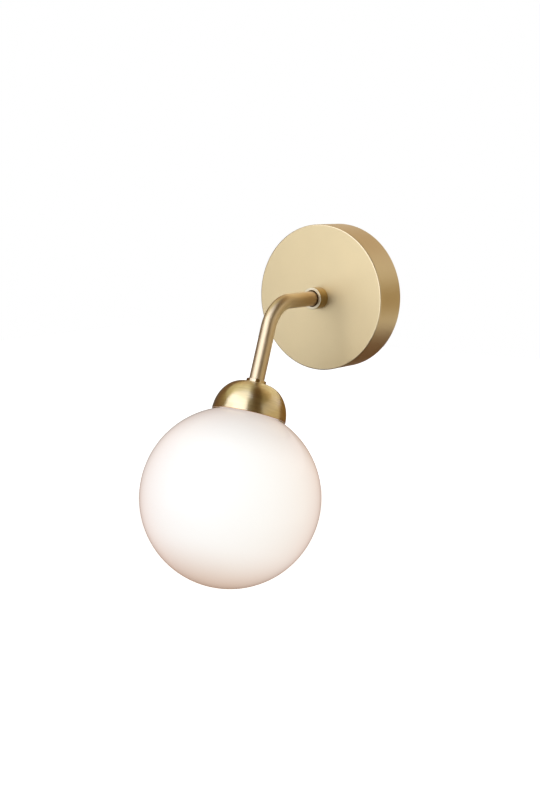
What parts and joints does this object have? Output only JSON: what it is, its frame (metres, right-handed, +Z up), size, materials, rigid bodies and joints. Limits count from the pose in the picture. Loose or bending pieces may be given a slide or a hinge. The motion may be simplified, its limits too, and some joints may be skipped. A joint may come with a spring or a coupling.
{
  "type": "globe wall sconce",
  "caption": "Wall light with a round canopy, a bent tube arm, a domed brass cup and a screw-in opal glass globe hanging forward and down.",
  "frame": {"origin": "centre of the canopy's back, on the wall plane", "axes": "+Z up the wall, +Y into the wall, so the lamp stands out towards -Y; +X to the right of someone facing the wall"},
  "size_m": [0.14, 0.2185, 0.276],
  "materials": {
    "zinc_steel": "zinc plated, satin",
    "canopy_brass": "fine satin brass, pale champagne",
    "arm_brass": "satin brass, polished along its length",
    "collar_brass": "turned brass, satin",
    "dome_brass": "spun brass, brushed round its axis",
    "screw_brass": "turned brass",
    "tinned_brass": "tinned",
    "terminal_brass": "plain turned brass",
    "carrier_steel": "white powder coat",
    "white_nylon": "moulded nylon",
    "brown_insulation": "silicone sleeve, brown",
    "blue_insulation": "silicone sleeve, blue",
    "earth_insulation": "green sleeve with a yellow stripe",
    "steatite": "unglazed steatite",
    "bulb_base_white": "moulded, glossy",
    "pin_nickel": "nickel plated",
    "frosted_envelope": "frosted, lit from inside",
    "led_ceramic": "smooth alumina",
    "led_phosphor": "yellow phosphor over the chips",
    "seal_silicone": "soft silicone",
    "opal_glass": "blown opal glass, glossy, lit from inside"
  },
  "bodies": {
    "fixture": {"wall_bracket": "zinc_steel", "canopy": "canopy_brass", "canopy_side_screws": "screw_brass", "arm_collar": "collar_brass", "arm_tube": "arm_brass", "arm_threaded_rod": "zinc_steel", "arm_washer": "zinc_steel", "arm_nut": "zinc_steel", "earth_tags": "tinned_brass", "earth_wire": "earth_insulation", "earth_screw": "screw_brass", "terminal_block": "white_nylon", "terminal_clamps": "terminal_brass", "terminal_screws": "zinc_steel", "terminal_block_screw": "zinc_steel", "live_wire": "brown_insulation", "neutral_wire": "blue_insulation", "neck_ring": "collar_brass", "dome_cup": "dome_brass", "head_threaded_rod": "zinc_steel", "dome_washer": "zinc_steel", "spacer_sleeve": "zinc_steel", "globe_carrier": "carrier_steel", "head_nut": "zinc_steel", "lampholder_strap": "zinc_steel", "lampholder_body": "steatite", "lampholder_contacts": "terminal_brass", "lampholder_screws": "zinc_steel"},
    "bulb": {"bulb_base": "bulb_base_white", "bulb_pins": "pin_nickel", "bulb_envelope": "frosted_envelope", "led_board": "led_ceramic", "led_chips": "led_phosphor"},
    "globe_lift": {"globe_seal": "seal_silicone"},
    "globe": {"opal_globe": "opal_glass"}
  },
  "joints": [
    {"name": "bulb_pull", "type": "slide", "parent": "fixture", "child": "bulb", "axis": [0, -0.3584, -0.9336], "range_m": [0, 0.012]},
    {"name": "globe_drop", "type": "slide", "parent": "fixture", "child": "globe_lift", "axis": [0, -0.3584, -0.9336], "range_m": [0, 0.009]},
    {"name": "globe_turn", "type": "hinge", "parent": "globe_lift", "child": "globe", "pos_m": [0, -0.12296, -0.07935], "axis": [0, -0.3584, -0.9336], "range_deg": [0, 810]}
  ],
  "couplings": [
    {"joint": "globe_drop", "follows": "globe_turn", "m_per_rad": 0.00063662}
  ]
}
